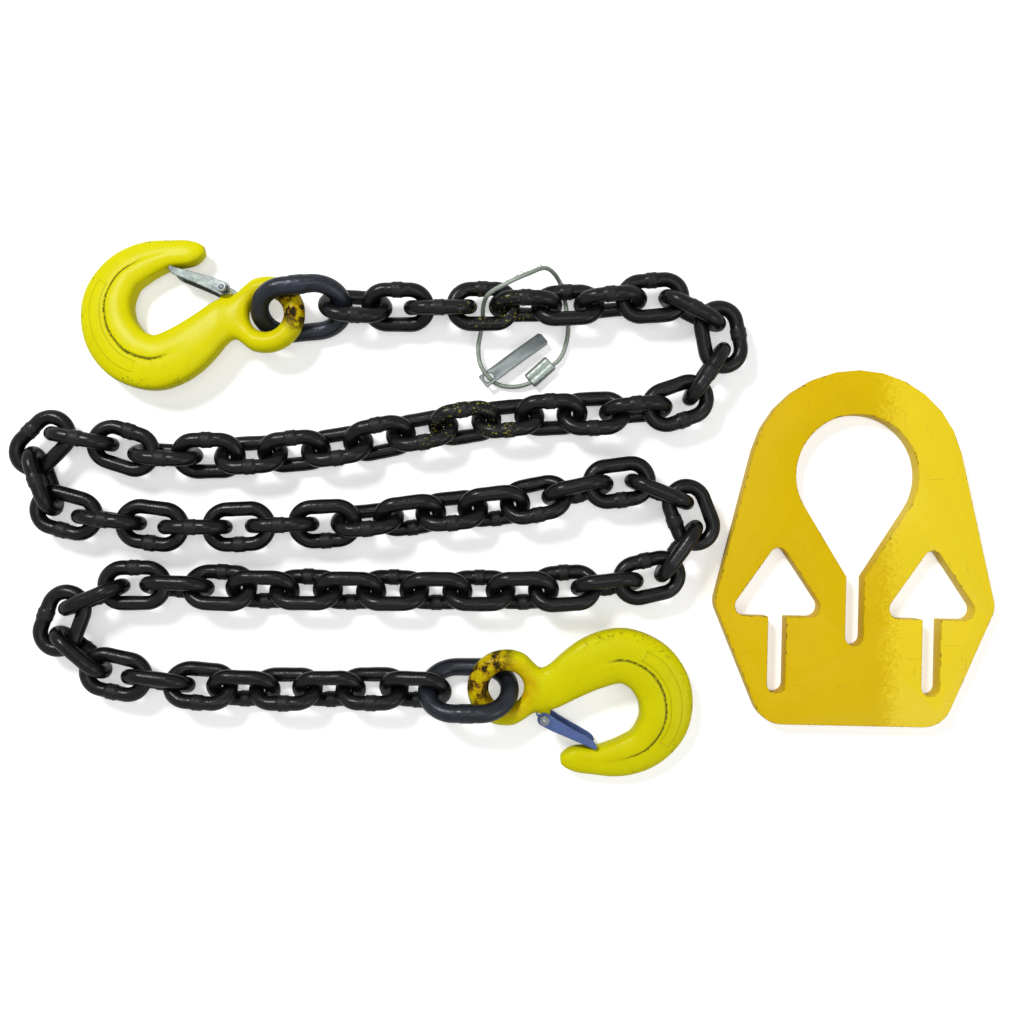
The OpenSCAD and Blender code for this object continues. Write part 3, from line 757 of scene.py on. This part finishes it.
def cheek_grid(side):
    """One cheek: its top edge from tip to ear, round the ear, and back along the low edge."""
    x = np.linspace(0, LATCH_LEN, 54)
    places = [0, 5, 14, 26, 38, 45, 49, 51.5, LATCH_LEN]
    top = np.interp(x, places, [EAR_R, 5.8, 4.8, 4.1, 3.7, 3.4, 2.5, 1.3, -0.4])
    ear = np.linspace(np.pi / 2, 3 * np.pi / 2, 17)[1:-1]
    upper = np.stack([x[::-1], top[::-1]], -1)
    round_ear = EAR_R * np.stack([np.cos(ear), np.sin(ear)], -1)
    edge = np.concatenate([upper, round_ear, np.stack([x, latch_low(x)], -1)])
    flat = np.stack([edge, edge], 0)
    z = side * (LATCH_GAP + LATCH_T) / 2 + np.array([-0.5, 0.5]) * (LATCH_T - 0.1)
    return np.concatenate([flat, np.broadcast_to(z[:, None, None], (2, len(edge), 1))], -1)


def floor_grid():
    """The channel's floor: a strip along the cheeks' lower edge, from 11.5 mm out to the tip."""
    x = np.linspace(11.5, LATCH_LEN - 0.4, 30)
    wide, thick = LATCH_GAP / 2 + LATCH_T - 0.1, LATCH_T - 0.1
    section = np.array([[0, -wide], [0, wide], [thick, wide], [thick, -wide]])
    y = latch_low(x)[:, None] + section[None, :, 0]
    z = np.broadcast_to(section[None, :, 1], y.shape)
    return np.stack([np.repeat(x[:, None], 4, 1), y, z], -1)


def at_latch(points):
    """From the latch's own place to the hook's: turned by the latch's angle about the pin."""
    return points @ turned(0, 0, LATCH_ANGLE).T + PIN_AT


latch_skin = forged("latch_skin", [
    (cheek_grid(1) * MM, False, True, True),
    (cheek_grid(-1) * MM, False, True, True),
    (floor_grid() * MM, False, True, True),
], voxel=0.00042, smooth_steps=3)
latch_points = vertices_of(latch_skin) / MM
print("one latch:", len(latch_skin.polygons), "faces")


def zinc(name, color, clouded):
    """Zinc plate: metal with faint cloudy blotches and hair scratches along the part."""
    plate = Finish(name, color, 0.38, metallic=0.6)
    blotch = plate.noise(130, 4, 0.6)
    plate.wear(blotch.between(0.4, 0.7) * 0.6, clouded)
    scratch = plate.noise(60, 3, 0.8, stretch=(1, 14, 14))
    plate.wear(scratch.between(0.66, 0.72) * 0.4, (0.55, 0.57, 0.6))
    plate.wear(plate.noise(500, 5, 0.7).between(0.7, 0.8) * 0.6, (0.12, 0.11, 0.1))
    plate.feed("Roughness", 0.3 + blotch * 0.2)
    plate.bump(plate.noise(420, 4), 0.00012)
    return plate.done()


LATCH = {
    "1": zinc("latch_zinc_pale", (0.08, 0.095, 0.088), (0.035, 0.042, 0.038)),
    "2": zinc("latch_zinc_blue", (0.07, 0.11, 0.27), (0.035, 0.055, 0.15)),
}
PIN_ZINC = zinc("pin_zinc", (0.22, 0.24, 0.26), (0.1, 0.115, 0.12))
for number in "12":
    name = f"pressed_latch_{number}"
    mesh = latch_skin.copy()
    mesh.name = name
    mesh.vertices.foreach_set("co", placed(at_latch(latch_points), number).ravel())
    shade(mesh, True)
    body, node = f"latch_{number}_body", f"latch_{number}"
    add_piece(name, mesh, body, [node], LATCH[number])
bpy.data.meshes.remove(latch_skin)

# %% [markdown]
# Pins, nuts and springs are turned or wound. A turned part is a profile of radius and height spun
# round an axis. A six-sided nut is the same with its radius cut back by the flats, so its corners
# are rounded off as a real nut's are. STACK is half the width of the latch with a little play.

# %% Pin, nut and spring
def spun_grid(profile, sides=72, flats=None):
    """Radius and height pairs spun round Z. With flats, r = min(r, flats / 2 / cos(off flat))."""
    profile = np.asarray(profile, float)
    a = full_turn(sides)
    r = np.repeat(profile[:, :1], sides, 1)
    if flats:
        from_flat = (a + np.pi / 6) % (np.pi / 3) - np.pi / 6
        r = np.minimum(r, flats / 2 / np.cos(from_flat)[None, :])
    return np.stack([r * np.cos(a), r * np.sin(a), np.repeat(profile[:, 1:], sides, 1)], -1)


STACK = 11.3
pin_profile = [
    [0.2, -STACK - 2.5], [3.4, -STACK - 2.45], [4.1, -STACK - 2.1], [4.5, -STACK - 1.4],
    [4.5, -STACK - 0.3], [4.2, -STACK], [2.5, -STACK + 0.05], [2.5, 0],
    [2.5, STACK + 4.6], [2.2, STACK + 5.3], [0.2, STACK + 5.5],
]
nut_profile = [
    [2.6, STACK], [3.9, STACK], [4.62, STACK + 0.45], [4.62, STACK + 2.9],
    [4.0, STACK + 3.5], [3.75, STACK + 3.6], [3.6, STACK + 4.4], [2.6, STACK + 4.5],
]


def spring_path(coil_r=3.85, low=5.05, rise=0.92, turns=3):
    """A helix round the pin, and then a straight leg towards the hook's neck."""
    t = np.linspace(0, turns, 100)
    a = 2 * np.pi * (t + 0.25)
    coil = np.stack([coil_r * np.cos(a), coil_r * np.sin(a), low + t * rise], -1)
    leg = np.linspace([-0.5, coil_r, low + turns * rise], [-6.5, coil_r, low + turns * rise], 8)
    return np.concatenate([coil, leg])


spring_steel = Finish("spring_steel", (0.5, 0.5, 0.5), 0.3, metallic=1.0)
spring_steel.wear(spring_steel.noise(300, 3).between(0.45, 0.7) * 0.6, (0.22, 0.2, 0.18))
spring_steel.bump(spring_steel.noise(900, 3), 0.0001)
SPRING = spring_steel.done()
for number in "12":
    for name, grid, slot, finish in (
        ("pin", spun_grid(pin_profile), "pin_steel", PIN_ZINC),
        ("nut", spun_grid(nut_profile, flats=8.0), "pin_steel", PIN_ZINC),
        ("spring", tube_grid(spring_path(), 0.72, 14), "spring_steel", SPRING),
    ):
        is_ring = name == "nut"
        grids = [(placed(grid + PIN_AT, number), is_ring, True, not is_ring)]
        mesh = mesh_of(f"turned_{name}_{number}", grids, smooth=not is_ring)
        body, node = f"hook_{number}_body", f"latch_{name}_{number}"
        add_piece(f"turned_{name}_{number}", mesh, body, [node], finish)
print("pins, nuts and springs made")

# %% [markdown]
# The tag's rope is galvanised, grey-green with dull and bright strands. Its two ends are held by a
# crimped aluminium sleeve with two barrels side by side and flat-cut ends.

# %% Rope, sleeve and tag
rope = Finish("galvanised_rope", (0.27, 0.32, 0.26), 0.45, metallic=0.35)
rope.wear(rope.noise(700, 4, 0.6).between(0.45, 0.7) * 0.7, (0.13, 0.155, 0.125))
rope.wear(rope.noise(2400, 2).between(0.6, 0.7) * 0.5, (0.42, 0.47, 0.4))
rope.bump(rope.noise(3000, 2), 0.0002)
ROPE = rope.done()
rope_piece = add_piece("tag_rope", rope_mesh, "tag_loop", ["tag_cable"], ROPE)
hair_piece = add_piece("tag_rope_hairs", hair_mesh, "tag_loop", [], ROPE)

SLEEVE_MID = np.array([27, 122.5, 4.9]) + LAID
sleeve_axis = unit(loop[FIRST_OUT + 2] - loop[LAST_OUT - 3])
sleeve_side = unit(np.cross([0, 0, 1.0], sleeve_axis))
sleeve_up = np.cross(sleeve_axis, sleeve_side)


def sleeve_grid(length=25, barrel=4.35, spread=5.9, rings=26, sides=72):
    """Outline of two round barrels side by side; crimps pinch it a little at three places."""
    a = full_turn(sides)
    half = spread / 2
    far = half * np.abs(np.cos(a)) + np.sqrt(np.maximum(barrel**2 - (half * np.sin(a)) ** 2, 0))
    x = np.linspace(-length / 2, length / 2, rings)
    ends = 1 - 0.1 * np.clip((np.abs(x) - length / 2 + 0.5) / 0.5, 0, 1) ** 2
    crimp = 1 - 0.035 * np.exp(-(((x[:, None] - np.array([-7, 0, 7])) / 1.6) ** 2)).sum(1)
    r = far[None, :] * ends[:, None]
    y = (r * np.cos(a) + half)[..., None]
    z = (r * np.sin(a) * crimp[:, None])[..., None]
    return SLEEVE_MID + x[:, None, None] * sleeve_axis + y * sleeve_side + z * sleeve_up


crimp_metal = Finish("sleeve_aluminium", (0.26, 0.3, 0.275), 0.36, metallic=0.6)
crimp_metal.wear(crimp_metal.noise(260, 5, 0.65).between(0.45, 0.75) * 0.6, (0.15, 0.175, 0.16))
crimp_metal.wear(crimp_metal.noise(900, 4, 0.7).between(0.66, 0.74) * 0.5, (0.5, 0.54, 0.5))
crimp_metal.feed("Roughness", 0.24 + crimp_metal.noise(300, 3) * 0.3)
crimp_metal.bump(crimp_metal.noise(700, 5, 0.7), 0.0002)
SLEEVE = crimp_metal.done()
sleeve_mesh = mesh_of("crimped_sleeve", [(sleeve_grid() * MM, False, True, True)])
sleeve_piece = add_piece(
    "crimped_sleeve", sleeve_mesh, "tag_loop", ["tag_sleeve"], SLEEVE
)

TAG_AT, TAG_TURN = np.array([-20.5, 119.5, 6.6]) + LAID, turned(-25, 2, 36)


def tag_grid(width=14, length=68, thick=1.5, hole=9, sides=160):
    """Rows from the hole's rim out to the strip's outline under it and back above it.

    The strip's middle bows up by 0.5 mm * sin(pi * x / tip)^2.
    """
    a = full_turn(sides)
    cx, tip = length / 2 - width / 2, length - width / 2
    corner = 1.6
    ray = np.stack([np.cos(a), np.sin(a)], -1)
    hx, hy = length / 2 - corner, width / 2 - corner
    far = np.stack([np.where(ray[:, 0] > 0, tip, width / 2), 0 * a + width / 2], -1)
    reach = (far / np.maximum(np.abs(ray), 1e-6)).min(1)
    square = ray * reach[:, None] - [cx, 0]
    inner = np.clip(square, [-hx, -hy], [hx, hy])
    past = square - inner
    rounded = (np.abs(past).sum(1) > 1e-6)[:, None]
    outline = inner + unit(past + 1e-9 * ray) * corner * rounded + [cx, 0]
    rim = ray * hole / 2
    mid = (rim + outline) / 2
    h = thick / 2
    soft = 0.3
    inner_edge = outline + unit(rim - outline) * soft
    hole_edge = rim + unit(outline - rim) * soft
    under = [(rim, -h + soft), (hole_edge, -h), (mid, -h), (inner_edge, -h), (outline, -h + soft)]
    above = [(p, -z) for p, z in reversed(under)]
    rows = []
    for flat, z in under + above:
        bow = 0.5 * np.sin(np.clip(flat[:, 0], 0, tip) / tip * np.pi) ** 2
        rows.append(np.concatenate([flat, (z + bow)[:, None]], 1))
    return np.stack(rows)


tag_metal = Finish("tag_aluminium", (0.19, 0.215, 0.215), 0.48, metallic=0.35)
tag_metal.wear(tag_metal.noise(180, 5, 0.65).between(0.4, 0.7) * 0.6, (0.13, 0.15, 0.15))
brushed = tag_metal.noise(90, 3, 0.8, stretch=(1, 9, 9)).between(0.62, 0.68)
tag_metal.wear(brushed * 0.5, (0.36, 0.39, 0.39))
tag_metal.wear(tag_metal.noise(800, 4, 0.7).between(0.68, 0.76) * 0.6, (0.08, 0.08, 0.08))
tag_metal.bump(tag_metal.noise(500, 5, 0.7), 0.0002)
tag_points = (tag_grid() @ TAG_TURN.T + TAG_AT) * MM
tag_mesh = mesh_of("identity_tag", [(tag_points, True, True, False)])
tag_piece = add_piece("identity_tag", tag_mesh, "tag_body", ["tag_plate"], tag_metal.done())
print("tag, sleeve and rope in place")

# %% [markdown]
# The adjuster plate is thick steel plate cut with a torch, its edges broken and the whole thing
# painted. Its outline is exact in the CAD mesh, so a merged copy of that mesh gets a narrow rounded
# edge from Bevel, which is what catches the light along every edge of a painted plate.

# %% The adjuster plate's mesh
blank = bmesh.new()
blank.from_mesh(frame["nodes"]["adjuster_plate"].data)
bmesh.ops.remove_doubles(blank, verts=blank.verts, dist=1e-6)
bmesh.ops.dissolve_limit(blank, angle_limit=math.radians(0.5), verts=blank.verts, edges=blank.edges)
plate_mesh = bpy.data.meshes.new("painted_plate")
blank.to_mesh(plate_mesh)
blank.free()
plate_rough = bpy.data.objects.new("plate_rough", plate_mesh)
bpy.context.collection.objects.link(plate_rough)
rounding = plate_rough.modifiers.new("edges", "BEVEL")
rounding.width, rounding.segments = 0.0011, 3
rounding.limit_method, rounding.angle_limit = "ANGLE", math.radians(40)
rounding.harden_normals = True
shade(plate_mesh, True)
rounded_plate = worked_out(plate_rough, "painted_plate")
print("plate:", len(rounded_plate.polygons), "faces")

# %% [markdown]
# Golden yellow paint, brushed on thick. It has an orange-peel skin, glossier on the right half,
# where it is also painted lighter as a painted reflection of a lamp. It has thin scratches and a
# few black chips at the edges, and the upright faces are painted darker as painted shade.

# %% Plate paint
GOLD = (0.69, 0.465, 0.0012)
plate = Finish("plate_enamel", GOLD, 0.36, coat=0.03, coat_roughness=0.14, specular=0.07)
haze = plate.noise(9, 3, 0.5)
fade = plate.noise(30, 4, 0.6)
plate.wear(haze.between(0.42, 0.6) * 0.35, (0.72, 0.5, 0.002))
plate.wear(fade.between(0.5, 0.75) * 0.35, (0.62, 0.4, 0.001))
place_x = plate.node("ShaderNodeSeparateXYZ", {}, {"Vector": plate.place}, output=0)
peel = plate.noise(420, 3, 0.5)
# The right part is glossier, and its colour is made lighter there as a painted reflection.
glossy_right_and_painted_reflection = (place_x + (peel - 0.5) * 0.05).between(0.331, 0.349)
plate.wear(glossy_right_and_painted_reflection * 0.75, (0.9, 0.69, 0.02))
flake = plate.noise(240, 6, 0.75)
lengthways = plate.noise(26, 2, 0.85, stretch=(1, 16, 1)).between(0.69, 0.71)
crossways = plate.noise(22, 2, 0.85, stretch=(14, 1.5, 1), shift=3).between(0.69, 0.708)
scratches = lengthways + crossways
facing = plate.node("ShaderNodeTexCoord", output="Normal")
up_down = plate.node("ShaderNodeSeparateXYZ", {}, {"Vector": facing}, output=2).math("ABSOLUTE")
rim = up_down.between(0.2, 0.5) * (1 - up_down.between(0.93, 0.99))
chip = (rim * flake.between(0.55, 0.6) + flake.between(0.765, 0.785)).at_most_one()
plate.wear(scratches.at_most_one() * 0.35, (0.5, 0.33, 0.02))
# Painted shade: faces that stand upright, the plate's edges and the walls of its holes, are darker.
plate.wear((1 - up_down.between(0.3, 0.9)) * 0.3, (0.5, 0.32, 0.006))
plate.wear(chip * 0.9, (0.03, 0.026, 0.02))
plate.feed("Roughness", 0.32 + fade * 0.12 - glossy_right_and_painted_reflection * 0.1 + chip * 0.3)
plate.feed("Coat Weight", 0.03 + glossy_right_and_painted_reflection * 0.07 - chip * 0.03)
skin = peel * (0.35 + glossy_right_and_painted_reflection * 0.5) + plate.noise(60, 4) * 0.8
plate.bump(skin - chip * 0.5 - scratches * 0.15, 0.0005)
add_piece(
    "painted_plate", rounded_plate, "plate_body", ["adjuster_plate"], plate.done()
)

# %% [markdown]
# The photograph has a pure white ground. A pale floor gives that with plain light on the object:
# for the camera alone it adds a faint glow of its own, which lifts it to white but leaves the
# soft shadow under the chain.

# %% Floor and light
def stage_material(name):
    floor = Finish(name, (0.86, 0.86, 0.86), 0.7)
    shaders = floor.tree.nodes
    glow = shaders.new("ShaderNodeEmission")
    glow.inputs["Strength"].default_value = 0.42
    seen = shaders.new("ShaderNodeLightPath")
    added = shaders.new("ShaderNodeAddShader")
    chosen = shaders.new("ShaderNodeMixShader")
    links = floor.tree.links
    material = floor.done()
    links.new(floor.shader.outputs[0], added.inputs[0])
    links.new(glow.outputs[0], added.inputs[1])
    links.new(seen.outputs["Is Camera Ray"], chosen.inputs[0])
    links.new(floor.shader.outputs[0], chosen.inputs[1])
    links.new(added.outputs[0], chosen.inputs[2])
    links.new(chosen.outputs[0], shaders["Material Output"].inputs["Surface"])
    return material


FLOOR_HALF, FLOOR_Z = 9, -0.0004
floor_mesh = bpy.data.meshes.new("floor")
corners = [(-1, -1), (1, -1), (1, 1), (-1, 1)]
floor_points = [(x * FLOOR_HALF, y * FLOOR_HALF, FLOOR_Z) for x, y in corners]
floor_mesh.from_pydata(floor_points, [], [(0, 1, 2, 3)])
floor_mesh.materials.append(stage_material("pale_floor"))
floor = bpy.data.objects.new("floor", floor_mesh)
bpy.context.collection.objects.link(floor)


def soft_box(name, at, size, watts):
    """A round area lamp that shines at the origin."""
    lamp = bpy.data.lights.new(name, "AREA")
    lamp.shape, lamp.size, lamp.energy = "DISK", size, watts
    box = bpy.data.objects.new(name, lamp)
    box.location = at
    tilt = math.atan2(math.hypot(at[0], at[1]), at[2])
    box.rotation_euler = (tilt, 0, math.atan2(at[0], -at[1]))
    bpy.context.collection.objects.link(box)


soft_box("key", (-0.9, 1.1, 1.7), 0.5, 34)
soft_box("fill", (1.4, -0.9, 1.5), 1.2, 11)
soft_box("top", (0.1, 0.0, 2.2), 1.2, 9)

# %% [markdown]
# The world lights the object at a plain level. What the camera sees of it, and what metal mirrors,
# is pure white: the strength goes up to 1 for those rays only.

# %% The world
world = bpy.data.worlds.new("studio")
bpy.context.scene.world = world
world.use_nodes = True
sky_nodes, sky_links = world.node_tree.nodes, world.node_tree.links
sky = sky_nodes["Background"]
sky.inputs["Color"].default_value = (1, 1, 1, 1)
rays = sky_nodes.new("ShaderNodeLightPath")
seen = rays.outputs["Is Camera Ray"]
for kind in ("Is Glossy Ray", "Is Transmission Ray"):
    either = sky_nodes.new("ShaderNodeMath")
    either.operation = "MAXIMUM"
    sky_links.new(seen, either.inputs[0])
    sky_links.new(rays.outputs[kind], either.inputs[1])
    seen = either.outputs[0]
strength = sky_nodes.new("ShaderNodeMapRange")
strength.inputs["To Min"].default_value = 0.22
strength.inputs["To Max"].default_value = 1.0
sky_links.new(seen, strength.inputs["Value"])
sky_links.new(strength.outputs["Result"], sky.inputs["Strength"])
bpy.context.scene.view_settings.view_transform = "Standard"
